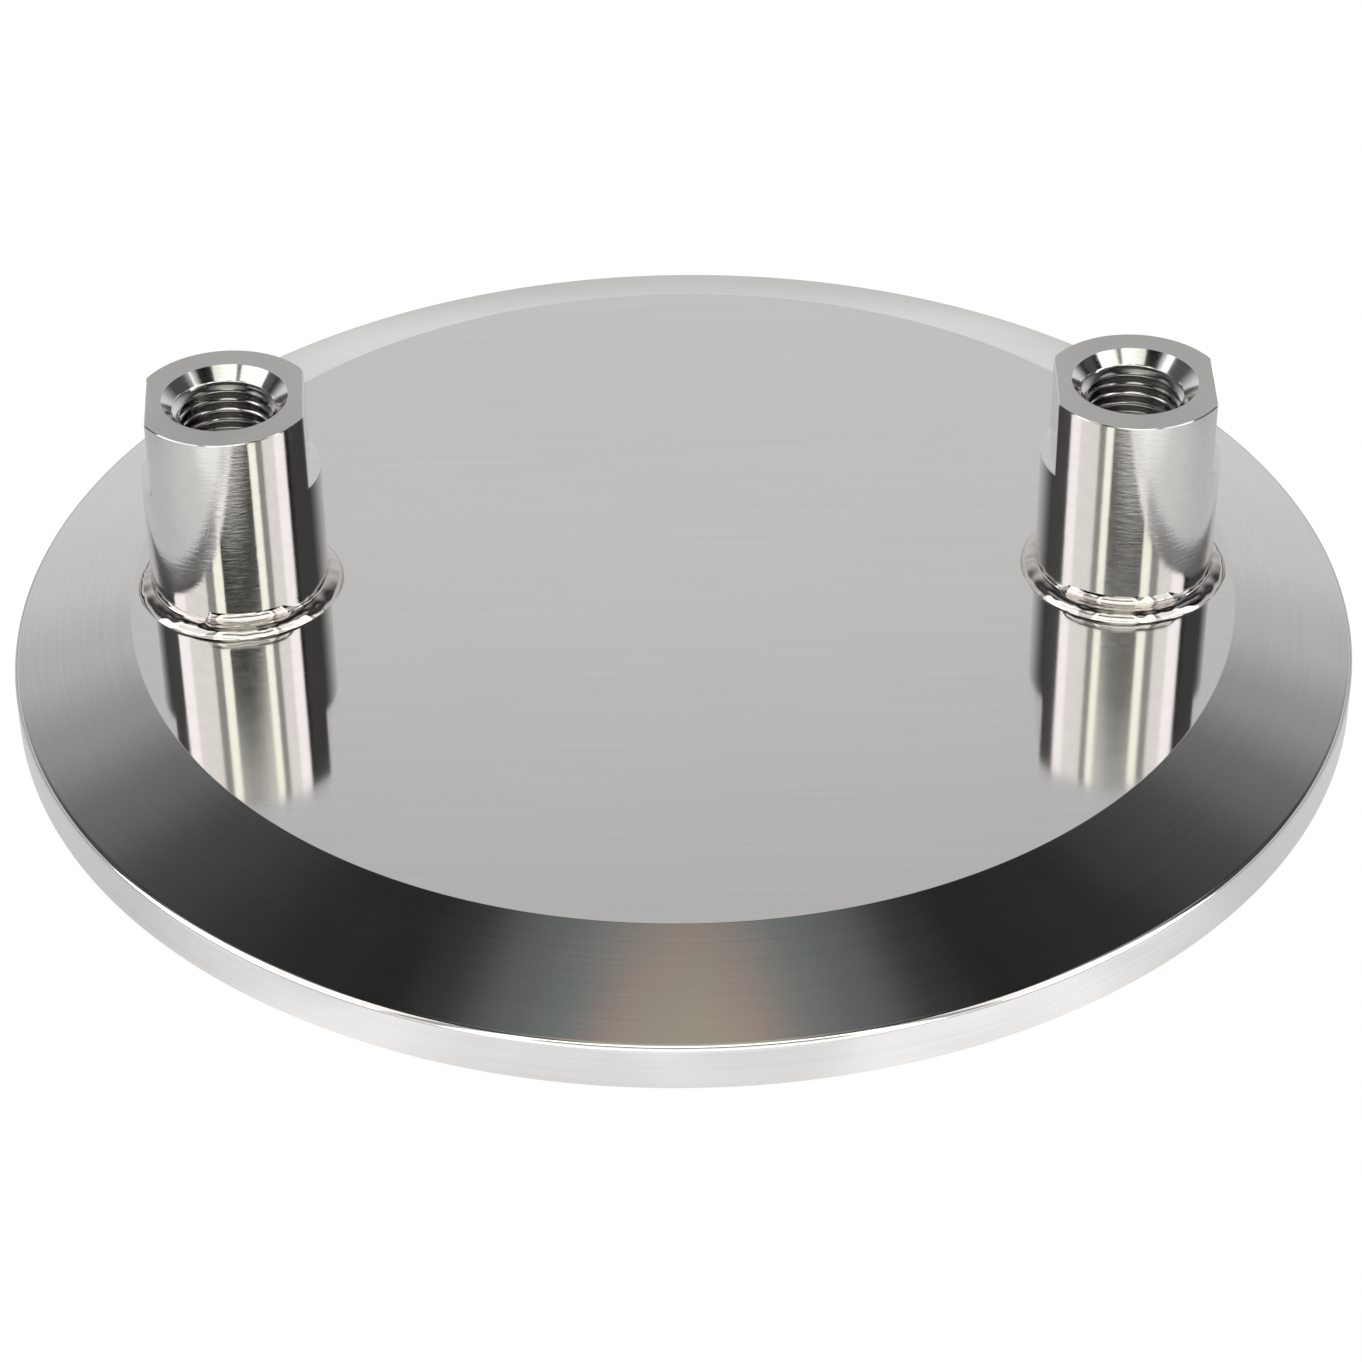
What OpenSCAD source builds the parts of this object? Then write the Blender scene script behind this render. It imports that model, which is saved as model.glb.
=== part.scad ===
// Hygienic clamp end cap, 6 inch size: a turned steel disc with a bevelled clamp
// rim, and two tapped couplings welded through it.
// The origin is the centre of the sealing face underneath. +Z points to the couplings,
// which stand on the X axis.

/* [Cap plate] */
// Outer diameter of the clamp rim
plate_d = 166.88; // [130:0.01:220]
// Height of the cap, from the sealing face to the flat top
plate_t = 11.2; // [9:0.1:14]
// Height of the rim wall, up to where the bevel would meet it without rounding
rim_h = 5.8; // [4.5:0.1:7]
// Slope of the bevel that the clamp pulls on, in degrees from flat
bevel_angle = 20; // [16:0.5:24]
// Radius of the rounded edge between the rim wall and the bevel
rim_top_r = 1; // [0.3:0.1:1.5]
// Radius of the rounded edge between the rim wall and the sealing face
rim_bottom_r = 0.4; // [0.2:0.1:1]

/* [Gasket groove] */
// Distance from the rim wall in to the middle of the gasket groove
groove_inset = 5; // [4:0.1:8]
// Radius of the round bottom of the groove
groove_r = 2.34; // [1.8:0.01:3]
// Depth of the groove below the sealing face
groove_depth = 1.65; // [1:0.05:1.8]

/* [Couplings] */
// Diameter of the round bar that each coupling is turned from
coupling_d = 22; // [18:0.1:28]
// Length of a coupling, from the sealing face to its open end
coupling_len = 38.1; // [28:0.1:60]
// Distance across the two wrench flats
flats_width = 19.05; // [17.5:0.05:21]
// Length of the wrench flats, down from the open end
flats_len = 10.1; // [5:0.1:12]
// Turn of the left coupling's flats about its own axis, in degrees
left_turn = 3.6; // [-45:0.1:45]
// Turn of the right coupling's flats about its own axis, in degrees
right_turn = -2.3; // [-45:0.1:45]
// Width of the chamfer around the outer edge at the open end
end_chamfer = 0.25; // [0.1:0.05:0.8]
// Flat left between the outer toe of the weld and the start of the bevel
toe_to_bevel = 0.6; // [0.2:0.1:20]

/* [Pipe thread, 1/4 inch with 18 turns to the inch] */
// Diameter of the drilled hole, where the thread's crests end
tap_drill_d = 11.112; // [9:0.001:13.4]
// Distance from one thread groove to the next
thread_pitch = 1.411; // [1.3:0.001:1.7]
// Depth of the first thread groove below the drilled wall
thread_depth = 1.04; // [0.7:0.01:1.04]
// Number of thread grooves
thread_count = 10; // [4:1:12]
// Angle between the two sides of a groove, in degrees
thread_angle = 60; // [50:1:60]
// Width of the flat at the bottom of a groove
thread_root_w = 0.06; // [0.02:0.01:0.1]
// Taper of the thread: growth of its diameter over each millimetre of length
thread_taper = 0.0625; // [0:0.0005:0.0625]
// Depth of the 90 degree countersink at the open end
countersink = 2.1; // [1:0.1:2.4]
// Width of the chamfer where the hole opens in the sealing face
hole_chamfer = 0.3; // [0.1:0.05:1]

/* [Welds] */
// Height of the outer weld bead up the coupling
bead_h = 2.7; // [1.5:0.1:4]
// Width of the outer weld bead over the plate
bead_w = 1.9; // [1.2:0.1:3]
// Radius of the outer weld bead's round face
bead_r = 3; // [2.9:0.1:6]
// Width and depth of the groove that the root weld fills
root_prep = 1.5; // [0.8:0.1:3]

/* [Fits] */
// Clearance around each coupling in its hole in the plate
coupling_gap = 0.05; // [0.02:0.01:0.2]

/* [Hidden] */
$fn = 144;

plate_r = plate_d / 2;
// Radius of the flat top, where the bevel starts
flat_r = plate_r - (plate_t - rim_h) / tan(bevel_angle);
// Centre of the rounded edge above the rim wall
rim_round = [
    plate_r - rim_top_r,
    rim_h + rim_top_r * tan(bevel_angle) - rim_top_r / cos(bevel_angle)
];
coupling_r = coupling_d / 2;
// Distance of each coupling's axis from the middle of the cap
coupling_x = flat_r - toe_to_bevel - bead_w - coupling_r;
hole_r = coupling_r + coupling_gap;
tap_drill_r = tap_drill_d / 2;
thread_top = coupling_len - countersink;
// Spare length of a cutting tool past the face that it cuts through
overcut = 1;

// The disc's section: flat underneath, straight rim, bevel and flat top
module plate_section() {
    bevel_start = rim_round + rim_top_r * [sin(bevel_angle), cos(bevel_angle)];
    polygon([
        [0, 0],
        [plate_r - rim_bottom_r, 0],
        [plate_r, rim_bottom_r],
        [plate_r, rim_round[1]],
        bevel_start,
        [flat_r, plate_t],
        [0, plate_t]
    ]);
    translate(rim_round) circle(r = rim_top_r);
    translate([plate_r - rim_bottom_r, rim_bottom_r]) circle(r = rim_bottom_r);
}

// Draws one shape at the axis of each coupling
module at_both_couplings() {
    for (side = [-1, 1])
        translate([side * coupling_x, 0, 0]) children();
}

// Hole for one coupling, widened underneath for the root weld
module coupling_hole() {
    translate([0, 0, -overcut]) cylinder(h = plate_t + 2 * overcut, r = hole_r);
    translate([0, 0, -overcut])
        cylinder(h = root_prep + overcut, r1 = hole_r + root_prep + overcut, r2 = hole_r);
}

// Ring that cuts the round-bottomed gasket groove
module groove_ring() {
    rotate_extrude()
        translate([plate_r - groove_inset, groove_depth - groove_r]) circle(r = groove_r);
}

module cap_plate() {
    color("silver")
        difference() {
            rotate_extrude() plate_section();
            groove_ring();
            at_both_couplings() coupling_hole();
        }
}

// Section of the solid bar, with its end chamfer
module bar_section() {
    polygon([
        [0, 0],
        [coupling_r, 0],
        [coupling_r, coupling_len - end_chamfer],
        [coupling_r - end_chamfer, coupling_len],
        [0, coupling_len]
    ]);
}

// Section of the drilled hole: chamfer, straight wall and countersink
module hole_section() {
    polygon([
        [0, -overcut],
        [tap_drill_r + hole_chamfer + overcut, -overcut],
        [tap_drill_r, hole_chamfer],
        [tap_drill_r, thread_top],
        [tap_drill_r + countersink + overcut, coupling_len + overcut],
        [0, coupling_len + overcut]
    ]);
}

// Section of one thread groove, cut into the drilled wall to the given depth
module thread_section(depth) {
    half_root = thread_root_w / 2;
    half_mouth = half_root + depth * tan(thread_angle / 2);
    polygon([
        [0, -half_mouth],
        [tap_drill_r, -half_mouth],
        [tap_drill_r + depth, -half_root],
        [tap_drill_r + depth, half_root],
        [tap_drill_r, half_mouth],
        [0, half_mouth]
    ]);
}

// The grooves get shallower downwards, as a tapered thread does
module thread_grooves() {
    for (turn = [0 : thread_count - 1]) {
        drop = (turn + 0.5) * thread_pitch;
        translate([0, 0, thread_top - drop])
            rotate_extrude() thread_section(thread_depth - drop * thread_taper / 2);
    }
}

// Cutters for the two wrench flats at the open end
module flat_cutters() {
    for (side = [-1, 1])
        translate([
            side * (flats_width / 2 + coupling_r / 2),
            0,
            coupling_len - flats_len / 2 + overcut / 2
        ])
            cube([coupling_r, coupling_d + 2 * overcut, flats_len + overcut], center = true);
}

// One coupling: turned bar, drilled, countersunk, tapped and milled flat on two sides
module coupling(turn) {
    difference() {
        rotate_extrude() bar_section();
        rotate_extrude() hole_section();
        thread_grooves();
        rotate([0, 0, turn]) flat_cutters();
    }
}

module left_coupling() {
    color("lightgray") translate([-coupling_x, 0, 0]) coupling(left_turn);
}

module right_coupling() {
    color("lightgray") translate([coupling_x, 0, 0]) coupling(right_turn);
}

// Section of the outer bead: a round face from the coupling's wall to the plate,
// on the circle that passes through both of its toes
module bead_section() {
    chord = norm([bead_w, bead_h]);
    back = sqrt(pow(bead_r, 2) - pow(chord / 2, 2));
    middle = [bead_w, bead_h] / 2 - back * [bead_h, bead_w] / chord;
    translate([coupling_r, plate_t])
        intersection() {
            translate(middle) circle(r = bead_r);
            square([bead_w, bead_h]);
        }
}

module outer_weld() {
    rotate_extrude() bead_section();
}

module left_outer_weld() {
    color("gainsboro") translate([-coupling_x, 0, 0]) outer_weld();
}

module right_outer_weld() {
    color("gainsboro") translate([coupling_x, 0, 0]) outer_weld();
}

// Root weld, dressed flush with the sealing face
module root_weld() {
    rotate_extrude()
        polygon([
            [coupling_r, 0],
            [hole_r + root_prep, 0],
            [hole_r, root_prep],
            [coupling_r, root_prep]
        ]);
}

module left_root_weld() {
    color("darkgray") translate([-coupling_x, 0, 0]) root_weld();
}

module right_root_weld() {
    color("darkgray") translate([coupling_x, 0, 0]) root_weld();
}

cap_plate();
left_coupling();
right_coupling();
left_outer_weld();
right_outer_weld();
left_root_weld();
right_root_weld();
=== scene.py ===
import math

import bmesh
import bpy
from mathutils import Matrix, Quaternion, Vector


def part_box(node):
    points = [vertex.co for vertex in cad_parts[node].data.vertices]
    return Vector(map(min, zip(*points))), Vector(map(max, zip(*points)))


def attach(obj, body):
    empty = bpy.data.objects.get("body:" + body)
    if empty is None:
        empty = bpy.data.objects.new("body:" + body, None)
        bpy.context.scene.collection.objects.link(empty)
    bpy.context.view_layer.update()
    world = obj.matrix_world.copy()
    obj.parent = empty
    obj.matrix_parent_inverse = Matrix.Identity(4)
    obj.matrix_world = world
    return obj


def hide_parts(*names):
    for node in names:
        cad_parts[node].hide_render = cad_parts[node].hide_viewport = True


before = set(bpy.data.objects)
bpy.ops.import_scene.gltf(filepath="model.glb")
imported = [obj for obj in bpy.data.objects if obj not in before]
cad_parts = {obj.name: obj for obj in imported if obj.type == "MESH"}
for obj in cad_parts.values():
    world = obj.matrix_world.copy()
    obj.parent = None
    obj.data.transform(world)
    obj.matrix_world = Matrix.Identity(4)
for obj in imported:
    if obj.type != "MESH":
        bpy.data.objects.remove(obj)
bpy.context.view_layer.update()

# ---------------------------------------------------------------------------
# Cap plate
# The disc that closes the pipe, turned from one stainless steel blank. A clamp
# pulls on its bevel, its top is ground flat, and a gasket fits the groove below.
# ---------------------------------------------------------------------------

plate_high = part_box("cap_plate")[1]
plate_radius = min(plate_high.x, plate_high.y)
plate_top = plate_high.z
rim_height = 0.0058
bevel_slope = math.radians(20)
rim_top_round = 0.001
rim_bottom_round = 0.0004
flat_edge_round = 0.00025
flat_radius = plate_radius - (plate_top - rim_height) / math.tan(bevel_slope)

groove_middle = plate_radius - 0.005
groove_radius = 0.00234
groove_depth = 0.00165
groove_edge_round = 0.00012

coupling_low, coupling_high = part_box("right_coupling")
coupling_axis = (coupling_low.x + coupling_high.x) / 2
coupling_radius = (coupling_high.y - coupling_low.y) / 2
coupling_top = coupling_high.z
hole_clearance = 0.00005
hole_radius = coupling_radius + hole_clearance
root_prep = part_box("right_root_weld")[1].z

# Rings of faces round a turned shape, the short straights that keep a rounding's
# shading off the flat next to it, and the distances below which two heights are
# the same height and two points are one
round_steps = 256
hole_steps = 96
edge_support = 0.00004
flat_support = 0.0004
same_height = 1e-6
same_point = 1e-7


def arc(middle, radius, start, end, steps):
    """Points on a circle in a section, from one angle to another."""
    angles = [start + (end - start) * step / steps for step in range(steps + 1)]
    return [middle + radius * Vector((math.cos(a), math.sin(a))) for a in angles]


def rounded(corners, steps=8):
    """A section through corners of (radius, height, rounding), with each rounding as an arc."""
    outline = []
    for index, (across, up, rounding) in enumerate(corners):
        point = Vector((across, up))
        if not rounding:
            outline.append(point)
            continue
        before = Vector(corners[index - 1][:2])
        after = Vector(corners[index + 1][:2])
        came, goes = (point - before).normalized(), (after - point).normalized()
        turn = came.angle_signed(goes)
        reach = rounding * math.tan(abs(turn) / 2)
        middle = point + (goes - came).normalized() * rounding / math.cos(turn / 2)
        first = point - came * reach - middle
        outline.append(point - came * (reach + edge_support))
        for step in range(steps + 1):
            outline.append(middle + Matrix.Rotation(-turn * step / steps, 2) @ first)
        outline.append(point + goes * (reach + edge_support))
    return outline


def turn(bm, outline, axis_x=0.0, steps=round_steps, closed=False):
    """Turns a section round an upright axis, as a lathe does."""
    verts = [bm.verts.new((axis_x + point.x, 0, point.y)) for point in outline]
    pairs = list(zip(verts, verts[1:])) + ([(verts[-1], verts[0])] if closed else [])
    edges = [bm.edges.new(pair) for pair in pairs]
    bmesh.ops.spin(
        bm, geom=verts + edges, cent=(axis_x, 0, 0), axis=(0, 0, 1),
        angle=math.tau, steps=steps, use_merge=True,
    )


def open_edges(bm, height):
    """The open edges that lie level at one height."""
    return [
        edge for edge in bm.edges
        if edge.is_boundary
        and all(abs(vert.co.z - height) < same_point for vert in edge.verts)
    ]


def fill_level(bm, height):
    """Closes the flat between all the open rings at one height."""
    bmesh.ops.triangle_fill(bm, edges=open_edges(bm, height), use_beauty=True)


def finish_mesh(name, bm, materials, choose=lambda face: 0, sharp=32):
    """Makes the object: faces outwards, smooth shading with sharp edges kept."""
    bmesh.ops.remove_doubles(bm, verts=bm.verts, dist=same_point)
    bmesh.ops.recalc_face_normals(bm, faces=bm.faces)
    for face in bm.faces:
        face.material_index = choose(face)
    mesh = bpy.data.meshes.new(name)
    bm.to_mesh(mesh)
    bm.free()
    mesh.shade_smooth()
    mesh.set_sharp_from_angle(angle=math.radians(sharp))
    for material in materials:
        mesh.materials.append(material)
    piece = bpy.data.objects.new(name, mesh)
    bpy.context.scene.collection.objects.link(piece)
    return piece


def math_for(tree):
    """Gives a function that adds one Math node to a node tree."""
    def add_math(operation, *values):
        """One Math node, fed with numbers or sockets."""
        node = tree.nodes.new("ShaderNodeMath")
        node.operation = operation
        for socket, value in zip(node.inputs, values):
            if hasattr(value, "links"):
                tree.links.new(value, socket)
            else:
                socket.default_value = value
        return node.outputs[0]
    return add_math


def make_tool_lines(coarse_share=0.23):
    """The lines that a turning tool or a grinding belt leaves, as a height and a tone.

    The lay is straight along X, or round the upright axis, with height added for a wall.
    The tone changes over wider bands than the height does.
    """
    group = bpy.data.node_groups.new("tool lines", "ShaderNodeTree")
    sockets = [("Vector", "NodeSocketVector"), ("Straight", "NodeSocketFloat"),
               ("Up Factor", "NodeSocketFloat"), ("Lines per Metre", "NodeSocketFloat"),
               ("Break Up", "NodeSocketFloat")]
    for name, kind in sockets:
        group.interface.new_socket(name, in_out="INPUT", socket_type=kind)
    for name in ("Height", "Tone"):
        group.interface.new_socket(name, in_out="OUTPUT", socket_type="NodeSocketFloat")
    add, link = group.nodes.new, group.links.new
    given, out = add("NodeGroupInput"), add("NodeGroupOutput")
    math_node = math_for(group)

    split = add("ShaderNodeSeparateXYZ")
    link(given.outputs["Vector"], split.inputs[0])
    x, y, z = split.outputs
    square_sum = math_node("ADD", math_node("MULTIPLY", x, x), math_node("MULTIPLY", y, y))
    radius = math_node("SQRT", square_sum)
    round_lay = math_node("MULTIPLY_ADD", z, given.outputs["Up Factor"], radius)
    lay = add("ShaderNodeMix")
    link(given.outputs["Straight"], lay.inputs["Factor"])
    link(round_lay, lay.inputs["A"])
    link(y, lay.inputs["B"])
    across = math_node("MULTIPLY", lay.outputs["Result"], given.outputs["Lines per Metre"])
    for name, share in (("Height", 1.0), ("Tone", coarse_share)):
        place = add("ShaderNodeCombineXYZ")
        link(math_node("MULTIPLY", across, share), place.inputs[0])
        link(math_node("MULTIPLY", x, given.outputs["Break Up"]), place.inputs[1])
        link(math_node("MULTIPLY", y, given.outputs["Break Up"]), place.inputs[2])
        noise = add("ShaderNodeTexNoise")
        noise.inputs["Scale"].default_value = 1.0
        noise.inputs["Detail"].default_value = 3.0
        noise.inputs["Roughness"].default_value = 0.6
        link(place.outputs[0], noise.inputs["Vector"])
        link(noise.outputs["Fac"], out.inputs[name])
    return group


def make_handling(clean_below=0.38, marked_above=0.68):
    """Faint clouding from wiping and handling, from 0 where clean to 1."""
    group = bpy.data.node_groups.new("handling", "ShaderNodeTree")
    group.interface.new_socket("Vector", in_out="INPUT", socket_type="NodeSocketVector")
    group.interface.new_socket("Scale", in_out="INPUT", socket_type="NodeSocketFloat")
    group.interface.new_socket("Mask", in_out="OUTPUT", socket_type="NodeSocketFloat")
    add, link = group.nodes.new, group.links.new
    given, out = add("NodeGroupInput"), add("NodeGroupOutput")
    noise = add("ShaderNodeTexNoise")
    noise.inputs["Detail"].default_value = 5.0
    noise.inputs["Distortion"].default_value = 0.6
    link(given.outputs["Vector"], noise.inputs["Vector"])
    link(given.outputs["Scale"], noise.inputs["Scale"])
    spread = add("ShaderNodeMapRange")
    spread.inputs["From Min"].default_value = clean_below
    spread.inputs["From Max"].default_value = marked_above
    link(noise.outputs["Fac"], spread.inputs["Value"])
    link(spread.outputs["Result"], out.inputs["Mask"])
    return group


tool_lines = make_tool_lines()
handling = make_handling()

# How many handling marks lie in a metre, and how far they and the lines dull the gloss
marks_per_metre = 60.0
marks_dulling = 0.6
lines_dulling = 0.4

# Added to a place, these turn it into a direction across straight or round lines
across_straight = (0, 1000, 0)
across_round = (0, 0, -1)


def steel(name, bright, dull, smooth, rough, lines, depth,
          straight=0.0, up_factor=-1.0, axis_x=0.0, anisotropy=0.0, break_up=25.0):
    """Stainless steel with the lines of its finishing cut and faint handling marks.

    lines and break_up count the lines, and the breaks along one, in a metre. The gloss
    is stretched across the lines, as a brushed surface's is.
    """
    material = bpy.data.materials.new(name)
    material.use_nodes = True
    nodes, link = material.node_tree.nodes, material.node_tree.links.new
    shader = nodes["Principled BSDF"]
    shader.inputs["Metallic"].default_value = 1.0
    shader.inputs["Anisotropic"].default_value = anisotropy

    place = nodes.new("ShaderNodeTexCoord").outputs["Object"]
    centred = nodes.new("ShaderNodeMapping")
    centred.inputs["Location"].default_value = (-axis_x, 0, 0)
    link(place, centred.inputs["Vector"])

    cut = nodes.new("ShaderNodeGroup")
    cut.node_tree = tool_lines
    link(centred.outputs[0], cut.inputs["Vector"])
    cut.inputs["Straight"].default_value = straight
    cut.inputs["Up Factor"].default_value = up_factor
    cut.inputs["Lines per Metre"].default_value = lines
    cut.inputs["Break Up"].default_value = break_up

    marks = nodes.new("ShaderNodeGroup")
    marks.node_tree = handling
    link(place, marks.inputs["Vector"])
    marks.inputs["Scale"].default_value = marks_per_metre

    tone = nodes.new("ShaderNodeMix")
    tone.data_type = "RGBA"
    link(cut.outputs["Tone"], tone.inputs["Factor"])
    tone.inputs["A"].default_value = (*dull, 1)
    tone.inputs["B"].default_value = (*bright, 1)
    link(tone.outputs["Result"], shader.inputs["Base Color"])

    worn = nodes.new("ShaderNodeMath")
    worn.operation = "MULTIPLY_ADD"
    link(marks.outputs["Mask"], worn.inputs[0])
    worn.inputs[1].default_value = marks_dulling
    scaled = nodes.new("ShaderNodeMath")
    scaled.operation = "MULTIPLY"
    link(cut.outputs["Tone"], scaled.inputs[0])
    scaled.inputs[1].default_value = lines_dulling
    link(scaled.outputs[0], worn.inputs[2])
    gloss = nodes.new("ShaderNodeMapRange")
    link(worn.outputs[0], gloss.inputs["Value"])
    gloss.inputs["To Min"].default_value = smooth
    gloss.inputs["To Max"].default_value = rough
    link(gloss.outputs["Result"], shader.inputs["Roughness"])

    relief = nodes.new("ShaderNodeBump")
    relief.inputs["Strength"].default_value = 1.0
    relief.inputs["Distance"].default_value = depth
    link(cut.outputs["Height"], relief.inputs["Height"])
    link(relief.outputs[0], shader.inputs["Normal"])

    if anisotropy:
        across = nodes.new("ShaderNodeVectorMath")
        across.operation = "ADD"
        link(centred.outputs[0], across.inputs[0])
        across.inputs[1].default_value = across_straight if straight else across_round
        link(across.outputs[0], shader.inputs["Tangent"])
    return material


ground_steel = steel(
    "ground steel", bright=(0.70, 0.69, 0.68), dull=(0.64, 0.635, 0.625),
    smooth=0.05, rough=0.09, lines=6000, depth=1.2e-6, straight=1.0, anisotropy=0.9,
)
turned_steel = steel(
    "turned steel", bright=(0.72, 0.71, 0.70), dull=(0.62, 0.61, 0.60),
    smooth=0.07, rough=0.13, lines=7000, depth=1.5e-6, anisotropy=0.6,
)
sealing_steel = steel(
    "sealing face steel", bright=(0.70, 0.69, 0.68), dull=(0.62, 0.61, 0.60),
    smooth=0.12, rough=0.22, lines=5000, depth=1.5e-6, anisotropy=0.6,
)

groove_half = math.sqrt(groove_radius**2 - (groove_radius - groove_depth) ** 2)
groove_centre = Vector((groove_middle, groove_depth - groove_radius))
groove_lift = math.asin((groove_radius - groove_depth) / groove_radius)
groove_steps = 20
groove_floor = arc(groove_centre, groove_radius, groove_lift, math.pi - groove_lift, groove_steps)
plate_outline = rounded(
    [
        (flat_radius - flat_support, plate_top, 0),
        (flat_radius, plate_top, flat_edge_round),
        (plate_radius, rim_height, rim_top_round),
        (plate_radius, 0, rim_bottom_round),
        (groove_middle + groove_half, 0, groove_edge_round),
    ]
    + [(*point, 0) for point in groove_floor[1:-1]]
    + [
        (groove_middle - groove_half, 0, groove_edge_round),
        (groove_middle - groove_half - flat_support, 0, 0),
    ]
)
plate = bmesh.new()
turn(plate, plate_outline)
for side in (-1, 1):
    hole = [(hole_radius, plate_top), (hole_radius, root_prep), (hole_radius + root_prep, 0)]
    turn(plate, [Vector(point) for point in hole], side * coupling_axis, steps=hole_steps)
fill_level(plate, plate_top)
fill_level(plate, 0)


def plate_finish(face):
    """The flat top is ground, the underside is faced for the gasket, the rest is turned."""
    middle = face.calc_center_median()
    if middle.z > plate_top - same_height:
        return 0
    return 2 if middle.z < same_height else 1


plate_piece = finish_mesh(
    "cap_plate_steel", plate, [ground_steel, turned_steel, sealing_steel], plate_finish,
)
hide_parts("cap_plate")
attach(plate_piece, "root")

# ---------------------------------------------------------------------------
# Couplings
# Two short lengths of turned bar, drilled through, countersunk and tapped for
# a 1/4 inch taper pipe thread, with two wrench flats milled at the open end.
# ---------------------------------------------------------------------------

flats_width = 0.01905
flats_length = 0.0101
left_flats_turn = math.radians(3.6)
right_flats_turn = math.radians(-2.3)

# The flats' broken top edge, the step where they run out, and the bar's small edges
flats_edge = 0.00012
flats_step = 0.00006
end_chamfer = 0.0001
end_support = 0.00005
foot_round = 0.00005

tap_radius = 0.005556
countersink = 0.0021
thread_pitch = 0.001411
thread_depth = 0.00104
thread_turns = 10
thread_flank = math.tan(math.radians(30))
thread_root_half = 0.00003
thread_taper = 1 / 32
thread_run_out = 2.5
thread_start = coupling_top - countersink
hole_chamfer = 0.0003

# The thread's section lies between a sharp groove and a worn wave: wave_share is how
# far it is worn, and a wave_power above 1 widens the crests
wave_share = 0.5
wave_power = 1.3

# The plain bore that joins the tapped hole to the bar's lower end, and the distances
# for telling the mouth's faces apart, closing the helix and trimming it level
bore_join = 0.002
mouth_margin = 1e-5
seam_merge = 3e-6
level_cut = 1e-9
coupling_steps = 144

turned_bar = {
    side: steel(
        "turned bar " + side, bright=(0.75, 0.74, 0.72), dull=(0.66, 0.65, 0.63),
        smooth=smooth, rough=rough, lines=2800, depth=1.1e-5, axis_x=x, anisotropy=0.6, break_up=520.0,
    )
    for side, x, smooth, rough in (
        ("left", -coupling_axis, 0.07, 0.12), ("right", coupling_axis, 0.10, 0.15),
    )
}
faced_end = {
    side: steel(
        "faced end " + side, bright=(0.60, 0.59, 0.57), dull=(0.52, 0.515, 0.50),
        smooth=0.3, rough=0.42, lines=7000, depth=1.5e-6, axis_x=x, anisotropy=0.3,
    )
    for side, x in (("left", -coupling_axis), ("right", coupling_axis))
}
cut_thread = {
    side: steel(
        "cut thread " + side, bright=(0.82, 0.81, 0.79), dull=(0.70, 0.69, 0.67),
        smooth=0.08, rough=0.16, lines=9000, depth=1.5e-6, up_factor=1.0, axis_x=x,
    )
    for side, x in (("left", -coupling_axis), ("right", coupling_axis))
}


def thread_radius(height, phase):
    """Radius of the tapped hole at a height, where phase is the place within one pitch."""
    drop = thread_start - height
    turns_in = drop / thread_pitch
    fade = min(1.0, max(0.0, thread_turns + 1 - turns_in))
    depth = max(0.0, thread_depth - drop * thread_taper) * fade
    flank = abs(phase - 0.5) * thread_pitch / thread_flank
    groove = max(0.0, depth - max(0.0, flank - thread_root_half / thread_flank))
    wave = depth * (0.5 - 0.5 * math.cos(math.tau * phase)) ** wave_power
    groove += (wave - groove) * wave_share
    cone = tap_radius + height - thread_start
    return max(tap_radius + groove, cone)


def cut_hole(bm, axis_x, per_pitch=16):
    """The tapped hole: a section swept along the thread's helix, then trimmed level."""
    low = coupling_top - countersink - (thread_turns + thread_run_out) * thread_pitch
    trim = low + thread_pitch / 2
    # One pitch to spare at each end, which the trimming takes off again
    count = math.ceil((coupling_top - low) / thread_pitch) + 2
    rows = range(count * per_pitch + 1)
    verts = [
        bm.verts.new((axis_x + tap_radius, 0, low + (row / per_pitch - 1) * thread_pitch))
        for row in rows
    ]
    edges = [bm.edges.new(pair) for pair in zip(verts, verts[1:])]
    bmesh.ops.spin(
        bm, geom=verts + edges, cent=(axis_x, 0, 0), axis=(0, 0, 1),
        dvec=(0, 0, thread_pitch / hole_steps), angle=math.tau, steps=hole_steps,
    )
    for vert in bm.verts:
        across = Vector((vert.co.x - axis_x, vert.co.y))
        angle = math.atan2(across.y, across.x) % math.tau
        phase = ((vert.co.z - low) / thread_pitch - angle / math.tau) % 1.0
        across = across.normalized() * thread_radius(vert.co.z, phase)
        vert.co.x, vert.co.y = axis_x + across.x, across.y
    bmesh.ops.remove_doubles(bm, verts=bm.verts, dist=seam_merge)
    for height, way in ((coupling_top, 1), (trim, -1)):
        bmesh.ops.bisect_plane(
            bm, geom=bm.verts[:] + bm.edges[:] + bm.faces[:], dist=level_cut,
            plane_co=(0, 0, height), plane_no=(0, 0, way), clear_outer=True,
        )
    return trim


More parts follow.
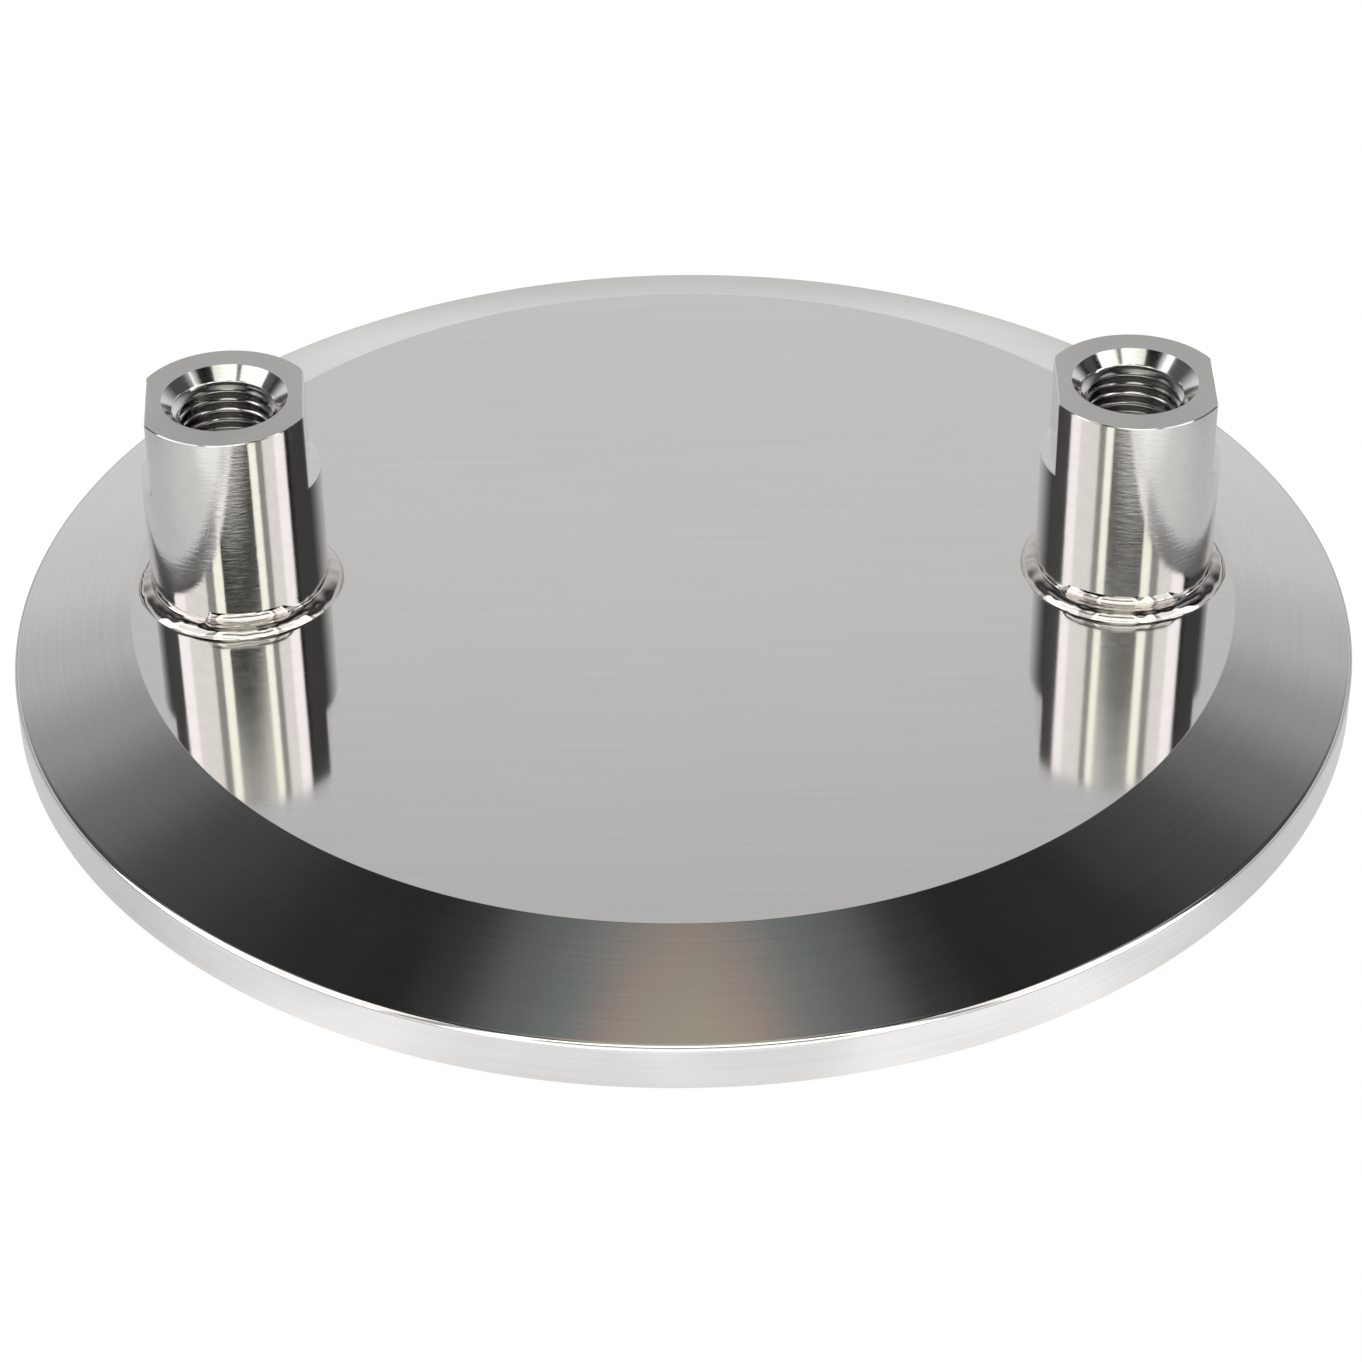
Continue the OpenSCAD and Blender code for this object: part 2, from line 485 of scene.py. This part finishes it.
def make_coupling(side, axis_x, flats_turn):
    """One coupling: the hole first, then the bar round it, joined at both ends."""
    bm = bmesh.new()
    hole_low = cut_hole(bm, axis_x)
    bar = rounded(
        [
            (tap_radius, hole_low - bore_join, 0),
            (tap_radius, hole_chamfer, 0),
            (tap_radius + hole_chamfer, 0, 0),
            (coupling_radius, 0, foot_round),
            (coupling_radius, coupling_top - flats_length - flats_step, 0),
            (coupling_radius, coupling_top - flats_length, 0),
            (coupling_radius, coupling_top - end_chamfer - end_support, 0),
            (coupling_radius, coupling_top - end_chamfer, 0),
            (coupling_radius - end_chamfer, coupling_top, 0),
            (coupling_radius - end_chamfer - end_support, coupling_top, 0),
        ],
        steps=3,
    )
    outer = bmesh.new()
    turn(outer, bar, axis_x, steps=coupling_steps)
    towards = Vector((math.cos(flats_turn), math.sin(flats_turn)))
    sideways = Vector((-towards.y, towards.x))
    for vert in outer.verts:
        if vert.co.z < coupling_top - flats_length - same_height:
            continue
        limit = flats_width / 2 - (flats_edge if vert.co.z > coupling_top - same_height else 0)
        place = Vector((vert.co.x - axis_x, vert.co.y))
        across, along = place.dot(towards), place.dot(sideways)
        across = min(limit, max(-limit, across))
        place = towards * across + sideways * along
        vert.co.x, vert.co.y = axis_x + place.x, place.y
    mesh = bpy.data.meshes.new("bar")
    outer.to_mesh(mesh)
    outer.free()
    bm.from_mesh(mesh)
    bpy.data.meshes.remove(mesh)
    ends = open_edges(bm, hole_low) + open_edges(bm, hole_low - bore_join)
    bmesh.ops.bridge_loops(bm, edges=ends)
    fill_level(bm, coupling_top)

    def finish(face):
        """The end is faced, the hole is drilled and tapped, the rest is turned."""
        middle = face.calc_center_median()
        reach = math.hypot(middle.x - axis_x, middle.y)
        if middle.z > coupling_top - same_height or middle.z < same_height:
            return 1
        return 2 if reach < tap_radius + countersink + mouth_margin else 0

    piece = finish_mesh(
        side + "_coupling_steel", bm,
        [turned_bar[side], faced_end[side], cut_thread[side]], finish, sharp=25,
    )
    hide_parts(side + "_coupling")
    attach(piece, "root")


make_coupling("left", -coupling_axis, left_flats_turn)
make_coupling("right", coupling_axis, right_flats_turn)

# ---------------------------------------------------------------------------
# Outer welds
# One low, smooth bead round each coupling, fused from the steel of both pieces and
# tinted by the heat. Where its end laps over its start it stands higher, as two lobes.
# ---------------------------------------------------------------------------

bead_low, bead_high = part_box("right_outer_weld")
bead_height = bead_high.z - plate_top
bead_width = (bead_high.x - bead_low.x) / 2 - coupling_radius
bead_turns = 360
lobe_steps = 14

# The bead's section: its toe, the crease between its two lobes, its top, and how far
# each lobe bows out. The lapped values are those where one end lies on the other
toe_share = 0.95
toe_wander = 0.5
crease_out = 0.00014
crease_height = 0.00128
lapped_crease_out = 0.00028
lapped_crease_drop = 0.00016
low_height = 0.0015
lapped_height = bead_height * 0.97
lower_bow = 0.00032
upper_bow = 0.00001
lapped_upper_bow = 0.00027

ripple_pitch = 0.0022
ripple_height = 0.000012

# How the bead wanders round the coupling: waves in one turn, where they start, their size
wander = ((3, 0.6, 0.00004), (7, 2.1, 0.00003), (13, 4.4, 0.000018), (23, 1.3, 0.000012))

bead_steel = steel(
    "bright weld", bright=(0.65, 0.625, 0.60), dull=(0.49, 0.46, 0.43),
    smooth=0.03, rough=0.07, lines=1500, depth=1.0e-6, break_up=900.0,
)


def bow(start, end, rise):
    """Points from start to end, bowed outwards by rise at the middle."""
    way = end - start
    outwards = Vector((way.y, -way.x)).normalized()
    steps = [step / lobe_steps for step in range(lobe_steps + 1)]
    return [start + way * t + outwards * rise * 4 * t * (1 - t) for t in steps]


def bead_section(angle, lap):
    """The bead at one angle: one low lobe, and a second lobe on it where the two ends lap."""
    uneven = sum(size * math.sin(waves * angle + phase) for waves, phase, size in wander)
    run = angle * coupling_radius / ripple_pitch
    uneven += ripple_height * math.sin(math.tau * run)
    toe = Vector((bead_width * toe_share + uneven * toe_wander, 0))
    crease = Vector((
        crease_out + lapped_crease_out * lap,
        crease_height - lapped_crease_drop * lap + uneven,
    ))
    top = Vector((0, low_height + (lapped_height - low_height) * lap + uneven))
    lower = bow(toe, crease, lower_bow + uneven)
    upper = bow(crease, top, upper_bow + (lapped_upper_bow + uneven) * lap)
    return lower + upper[1:]


def make_bead(side, axis_x, lap_start, lap_end, start_taper, end_taper):
    """Lays the bead out as a flat ring, then forms each part of it to its own section.

    The lap runs between two angles, in degrees from +X, and tapers over some degrees.
    """
    spacing = 0.0001
    count = 2 * lobe_steps + 1
    ring = [
        Vector((coupling_radius + spacing * (number + 1), plate_top)) for number in range(count)
    ]
    ring.append(Vector((coupling_radius, plate_top)))
    bm = bmesh.new()
    turn(bm, ring, axis_x, steps=bead_turns, closed=True)
    sections = {}
    for vert in bm.verts:
        out = Vector((vert.co.x - axis_x, vert.co.y))
        number = round((out.length - coupling_radius) / spacing) - 1
        if number < 0:
            continue
        angle = math.atan2(out.y, out.x)
        key = round(angle * bead_turns / math.tau)
        if key not in sections:
            into = (math.degrees(angle) - lap_start) / start_taper
            left = (lap_end - math.degrees(angle)) / end_taper
            lap = min(1.0, max(0.0, into)) * min(1.0, max(0.0, left))
            sections[key] = bead_section(angle, lap * lap * (3 - 2 * lap))
        across, up = sections[key][number]
        out = out.normalized() * (coupling_radius + across)
        vert.co = Vector((axis_x + out.x, out.y, plate_top + up))
    piece = finish_mesh(side + "_outer_bead", bm, [bead_steel], sharp=40)
    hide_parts(side + "_outer_weld")
    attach(piece, "root")


make_bead("left", -coupling_axis, lap_start=-109, lap_end=-45, start_taper=4, end_taper=14)
make_bead("right", coupling_axis, lap_start=-142, lap_end=-52, start_taper=10, end_taper=16)

# ---------------------------------------------------------------------------
# Root welds
# The seam round each coupling on the product side. It fills the groove cut for
# it, and is ground flush with the sealing face so that nothing can lodge there.
# ---------------------------------------------------------------------------

root_steps = 192
dressed_weld = {
    side: steel(
        "dressed weld " + side, bright=(0.74, 0.73, 0.72), dull=(0.60, 0.595, 0.585),
        smooth=0.16, rough=0.3, lines=4000, depth=2.5e-6, axis_x=x, break_up=400.0,
    )
    for side, x in (("left", -coupling_axis), ("right", coupling_axis))
}


def make_root_weld(side, axis_x):
    """The ring that fills the groove, flat where it is ground flush."""
    bm = bmesh.new()
    section = rounded(
        [
            (coupling_radius, root_prep, 0),
            (coupling_radius, 0, 0),
            (hole_radius + root_prep, 0, 0),
            (hole_radius, root_prep, 0),
        ]
    )
    turn(bm, section, axis_x, steps=root_steps, closed=True)
    piece = finish_mesh(side + "_root_seam", bm, [dressed_weld[side]], sharp=25)
    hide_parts(side + "_root_weld")
    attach(piece, "root")


make_root_weld("left", -coupling_axis)
make_root_weld("right", coupling_axis)

# ---------------------------------------------------------------------------
# Stage
# A white table that can't be seen from below, and the studio round it: pale low
# walls, a backdrop, a light overhead, and soft boxes in front and at both sides.
# ---------------------------------------------------------------------------

floor_size = 6.0
floor_sides = 64
floor_drop = 0.00005
floor = bmesh.new()
bmesh.ops.create_circle(
    floor, cap_ends=True, radius=floor_size, segments=floor_sides,
    matrix=Matrix.Translation((0, 0, -floor_drop)),
)
for face in floor.faces:
    face.normal_update()
    if face.normal.z < 0:
        face.normal_flip()
floor_mesh = bpy.data.meshes.new("floor")
floor.to_mesh(floor_mesh)
floor.free()
floor_piece = bpy.data.objects.new("floor", floor_mesh)
bpy.context.scene.collection.objects.link(floor_piece)

floor_paint = bpy.data.materials.new("floor")
floor_paint.use_nodes = True
floor_nodes, floor_link = floor_paint.node_tree.nodes, floor_paint.node_tree.links.new
floor_nodes.clear()
floor_math = math_for(floor_paint.node_tree)


def floor_ramp(value, start, end, first, last):
    """A smooth change from the level first to the level last, as value goes from start to end."""
    node = floor_nodes.new("ShaderNodeMapRange")
    node.interpolation_type = "SMOOTHSTEP"
    floor_link(value, node.inputs["Value"])
    for name, number in (("From Min", start), ("From Max", end)):
        node.inputs[name].default_value = number
    for name, number in (("To Min", first), ("To Max", last)):
        if hasattr(number, "links"):
            floor_link(number, node.inputs[name])
        else:
            node.inputs[name].default_value = number
    return node.outputs["Result"]


floor_place = floor_nodes.new("ShaderNodeTexCoord").outputs["Object"]
floor_split = floor_nodes.new("ShaderNodeSeparateXYZ")
floor_link(floor_place, floor_split.inputs[0])
floor_reach = floor_math("SQRT", floor_math(
    "ADD",
    floor_math("MULTIPLY", floor_split.outputs[0], floor_split.outputs[0]),
    floor_math("MULTIPLY", floor_split.outputs[1], floor_split.outputs[1]),
))
floor_x = floor_math("DIVIDE", floor_split.outputs[0], floor_reach)
floor_y = floor_math("DIVIDE", floor_split.outputs[1], floor_reach)

# Painted light on the table, seen only in polished metal: far off, its glow is set by direction; close
# to the part, it is set by place, with bright patches in front of the part and dimmer glow beside and
# behind it
floor_far_glow = floor_ramp(floor_x, 0.35, 0.65, 0.84, 0.08)
floor_far_glow = floor_ramp(floor_x, -0.65, -0.35, 0.0, floor_far_glow)
floor_far_glow = floor_ramp(floor_y, -0.97, -0.86, 1.2, floor_far_glow)
floor_noise = floor_nodes.new("ShaderNodeTexNoise")
floor_noise.inputs["Scale"].default_value = 30.0
floor_link(floor_place, floor_noise.inputs["Vector"])
floor_glow_patch = floor_ramp(floor_noise.outputs["Fac"], 0.35, 0.65, 0.98, 1.22)
floor_side_glow = floor_ramp(floor_split.outputs[1], -0.05, 0.0, 0.72, 0.56)
floor_near_glow = floor_ramp(floor_split.outputs[1], -0.072, -0.05, floor_glow_patch, floor_side_glow)
floor_lit = floor_ramp(floor_reach, 0.115, 0.165, floor_near_glow, floor_far_glow)

# The table looks white to the camera and takes the part's shadow, but is clear from below
floor_white = 0.95
floor_shade = 0.1
floor_path = floor_nodes.new("ShaderNodeLightPath")
floor_glossy = floor_math("MULTIPLY", floor_path.outputs["Is Glossy Ray"], floor_lit)
floor_camera = floor_path.outputs["Is Camera Ray"]
floor_level = floor_math("MULTIPLY_ADD", floor_camera, floor_white, floor_glossy)
floor_out = floor_nodes.new("ShaderNodeOutputMaterial")
floor_sum = floor_nodes.new("ShaderNodeAddShader")
floor_matt = floor_nodes.new("ShaderNodeBsdfDiffuse")
floor_matt.inputs["Color"].default_value = (floor_shade, floor_shade, floor_shade, 1)
floor_glow = floor_nodes.new("ShaderNodeEmission")
floor_link(floor_level, floor_glow.inputs["Strength"])
floor_link(floor_matt.outputs[0], floor_sum.inputs[0])
floor_link(floor_glow.outputs[0], floor_sum.inputs[1])
floor_under = floor_nodes.new("ShaderNodeBsdfTransparent")
floor_sided = floor_nodes.new("ShaderNodeMixShader")
floor_link(floor_nodes.new("ShaderNodeNewGeometry").outputs["Backfacing"], floor_sided.inputs[0])
floor_link(floor_sum.outputs[0], floor_sided.inputs[1])
floor_link(floor_under.outputs[0], floor_sided.inputs[2])
floor_link(floor_sided.outputs[0], floor_out.inputs["Surface"])
floor_mesh.materials.append(floor_paint)

world = bpy.data.worlds.new("studio")
bpy.context.scene.world = world
world.use_nodes = True
world_nodes, world_link = world.node_tree.nodes, world.node_tree.links.new
world_nodes.clear()
world_math = math_for(world.node_tree)


def fade(value, inner, outer):
    """1 where value is below inner, falling smoothly to 0 at outer."""
    node = world_nodes.new("ShaderNodeMapRange")
    node.interpolation_type = "SMOOTHSTEP"
    world_link(value, node.inputs["Value"])
    node.inputs["From Min"].default_value = inner
    node.inputs["From Max"].default_value = outer
    node.inputs["To Min"].default_value = 1.0
    node.inputs["To Max"].default_value = 0.0
    return node.outputs["Result"]


look = world_nodes.new("ShaderNodeTexCoord").outputs["Generated"]
look_split = world_nodes.new("ShaderNodeSeparateXYZ")
world_link(look, look_split.inputs[0])
look_x, look_y, look_z = look_split.outputs
elevation = world_math("MULTIPLY", world_math("ARCSINE", look_z), math.degrees(1))
bearing = world_math("MULTIPLY", world_math("ARCTAN2", look_x, look_y), math.degrees(1))


def off_bearing(middle):
    """Degrees between the direction looked in and a bearing, taken the short way round."""
    away = world_math("SUBTRACT", bearing, middle)
    return world_math("ABSOLUTE", world_math("WRAP", away, 180.0, -180.0))


def panel(middle, level, half_width, half_height, soft, colour):
    """A soft-edged bright rectangle at a bearing and an elevation."""
    sideways = fade(off_bearing(middle), half_width, half_width + soft)
    off_level = world_math("ABSOLUTE", world_math("SUBTRACT", elevation, level))
    upwards = fade(off_level, half_height, half_height + soft)
    amount = world_math("MULTIPLY", sideways, upwards)
    scale = world_nodes.new("ShaderNodeVectorMath")
    scale.operation = "SCALE"
    scale.inputs[0].default_value = colour
    world_link(amount, scale.inputs["Scale"])
    return scale.outputs[0]


def cone(axis, stops):
    """Rings of colour round a direction: each stop is (degrees off it, colour)."""
    dot = world_nodes.new("ShaderNodeVectorMath")
    dot.operation = "DOT_PRODUCT"
    world_link(look, dot.inputs[0])
    dot.inputs[1].default_value = axis
    off_axis = world_math("ARCCOSINE", dot.outputs["Value"])
    ramp = world_nodes.new("ShaderNodeValToRGB")
    ramp.color_ramp.interpolation = "EASE"
    widest = stops[-1][0]
    world_link(world_math("DIVIDE", off_axis, math.radians(widest)), ramp.inputs["Fac"])
    for number, (degrees, colour) in enumerate(stops):
        if number < 2:
            element = ramp.color_ramp.elements[number]
            element.position = degrees / widest
        else:
            element = ramp.color_ramp.elements.new(degrees / widest)
        element.color = (*colour, 1)
    return ramp.outputs["Color"]


def grey(level):
    """A colour with no tint."""
    return (level, level, level)


backdrop = cone((0, 1, 0), [
    (0, grey(0.86)), (24, grey(0.83)), (33, grey(0.78)), (42, grey(0.62)),
    (50, grey(0.40)), (57, grey(0.20)), (64, grey(0.08)), (72, grey(0.03)), (90, grey(0.0)),
])
overhead = cone((0, -0.02, 1), [
    (0, (0.50, 0.50, 0.49)), (7.4, (0.48, 0.50, 0.46)), (8.8, (0.40, 0.52, 0.36)),
    (10.6, (0.56, 0.36, 0.31)), (12.4, (0.21, 0.25, 0.26)), (16, (0.16, 0.17, 0.16)),
    (20, grey(0.05)), (26, grey(0.0)),
])
over_front = cone((0, -0.36, 0.93), [(0, grey(0.95)), (9, grey(0.9)), (14, grey(0.0))])
below = cone((0, 0, -1), [(0, grey(0.62)), (70, grey(0.5)), (88, grey(0.0))])
horizon = panel(0, 0, 180, 8, 16, grey(0.8))
studio_parts = [
    backdrop, overhead, over_front, below,
    panel(180, 64, 28, 9, 5, (1.05, 1.05, 0.97)),
    panel(-75, 34, 14, 6, 6, grey(0.10)),
    panel(75, 34, 14, 6, 6, grey(0.08)),
    panel(-90, 52, 20, 6, 6, grey(0.40)),
    panel(90, 52, 20, 6, 6, grey(0.40)),
]

total = horizon
for part in studio_parts:
    lighter = world_nodes.new("ShaderNodeVectorMath")
    lighter.operation = "MAXIMUM"
    world_link(total, lighter.inputs[0])
    world_link(part, lighter.inputs[1])
    total = lighter.outputs[0]

# The camera sees plain white beyond the table, and everything else sees the studio
world_out = world_nodes.new("ShaderNodeOutputWorld")
world_mix = world_nodes.new("ShaderNodeMixShader")
world_path = world_nodes.new("ShaderNodeLightPath")
studio_glow = world_nodes.new("ShaderNodeBackground")
white_glow = world_nodes.new("ShaderNodeBackground")
white_glow.inputs["Color"].default_value = (1, 1, 1, 1)
world_link(total, studio_glow.inputs["Color"])
world_link(world_path.outputs["Is Camera Ray"], world_mix.inputs[0])
world_link(studio_glow.outputs[0], world_mix.inputs[1])
world_link(white_glow.outputs[0], world_mix.inputs[2])
world_link(world_mix.outputs[0], world_out.inputs["Surface"])

# Each soft box stands upright between two points of the table, from a low to a high edge,
# with its glow and its colour. The two in front leave a dark band between them
box_foot = 0.03
box_head = 0.64
band_foot = 0.222
band_head = 0.306
front_left = (-0.16, -0.37)
front_right = (0.16, -0.37)
soft_boxes = [
    ("low front", front_left, front_right, box_foot, band_foot, 1.45, (1.0, 1.0, 0.96)),
    ("high front", front_left, front_right, band_head, box_head, 1.2, (1.0, 1.0, 0.95)),
]

# On each side a bright strip, a dim one, a wide one, and one turned in to the part
side_boxes = (
    (-1, "left", (-0.46, -0.13), (-0.50, 0.01)),
    (1, "right", (0.44, -0.23), (0.49, -0.087)),
)
for way, hand, turn_in, edge_end in side_boxes:
    strip_start = (0.16 * way, -0.369)
    strip_end = (0.24 * way, -0.353)
    dim_end = (0.325 * way, -0.336)
    soft_boxes += [
        (hand + " strip", strip_start, strip_end, box_foot, box_head, 1.9, (1.0, 1.0, 0.90)),
        (hand + " dim", strip_end, dim_end, box_foot, box_head, 0.5, (1.0, 0.98, 0.96)),
        (hand + " middle", dim_end, turn_in, box_foot, box_head, 1.45, (1.0, 0.97, 0.95)),
        (hand + " edge", turn_in, edge_end, box_foot, box_head, 1.9, (1.0, 0.95, 0.98)),
    ]
for name, start, end, low, high, glow, colour in soft_boxes:
    run = Vector(end) - Vector(start)
    middle = (Vector(start) + Vector(end)) / 2
    outwards = Vector((run.y, -run.x, 0)).normalized()
    if outwards.xy.dot(middle) < 0:
        outwards.negate()
    box_light = bpy.data.lights.new(name, "AREA")
    box_light.shape = "RECTANGLE"
    box_light.size = run.length
    box_light.size_y = high - low
    box_light.energy = glow * math.pi * run.length * (high - low)
    box_light.color = colour
    box_piece = bpy.data.objects.new(name, box_light)
    box_piece.location = (middle.x, middle.y, (low + high) / 2)
    box_piece.rotation_euler = outwards.to_track_quat("Z", "Y").to_euler()
    box_piece.visible_diffuse = False
    box_piece.visible_camera = False
    bpy.context.scene.collection.objects.link(box_piece)

# One wide lamp overhead gives the table its shadow and isn't mirrored in the metal
key_width = 0.9
key_watts = 9.0
key_place = Vector((0.1, 0.15, 1.3))
key = bpy.data.lights.new("overhead soft light", "AREA")
key.shape = "DISK"
key.size = key_width
key.energy = key_watts
key_piece = bpy.data.objects.new("overhead soft light", key)
key_piece.location = key_place
key_piece.rotation_euler = key_place.to_track_quat("Z", "Y").to_euler()
key_piece.visible_glossy = False
bpy.context.scene.collection.objects.link(key_piece)

# The camera looks down on the part from the front: its reach from the origin, its rise
# above the table, its bearing round the part, and the small roll it was held with
camera_reach = 0.48612
camera_rise = math.radians(35.57)
camera_bearing = math.radians(-90.683)
camera_roll = math.radians(-0.70)
camera_aim = Vector((-0.00043, -0.00767, 0))
camera = bpy.data.cameras.new("camera")
camera.sensor_width = 36.0
camera.lens = 101.33
camera.clip_start = 0.01
camera.clip_end = 50
camera_piece = bpy.data.objects.new("camera", camera)
camera_piece.location = camera_reach * Vector((
    math.cos(camera_rise) * math.cos(camera_bearing),
    math.cos(camera_rise) * math.sin(camera_bearing),
    math.sin(camera_rise),
))
straight_look = (camera_aim - camera_piece.location).to_track_quat("-Z", "Y")
camera_piece.rotation_mode = "QUATERNION"
camera_piece.rotation_quaternion = straight_look @ Quaternion((0, 0, 1), camera_roll)
bpy.context.scene.collection.objects.link(camera_piece)
bpy.context.scene.camera = camera_piece
bpy.context.scene.view_settings.view_transform = "Standard"

bpy.context.view_layer.update()
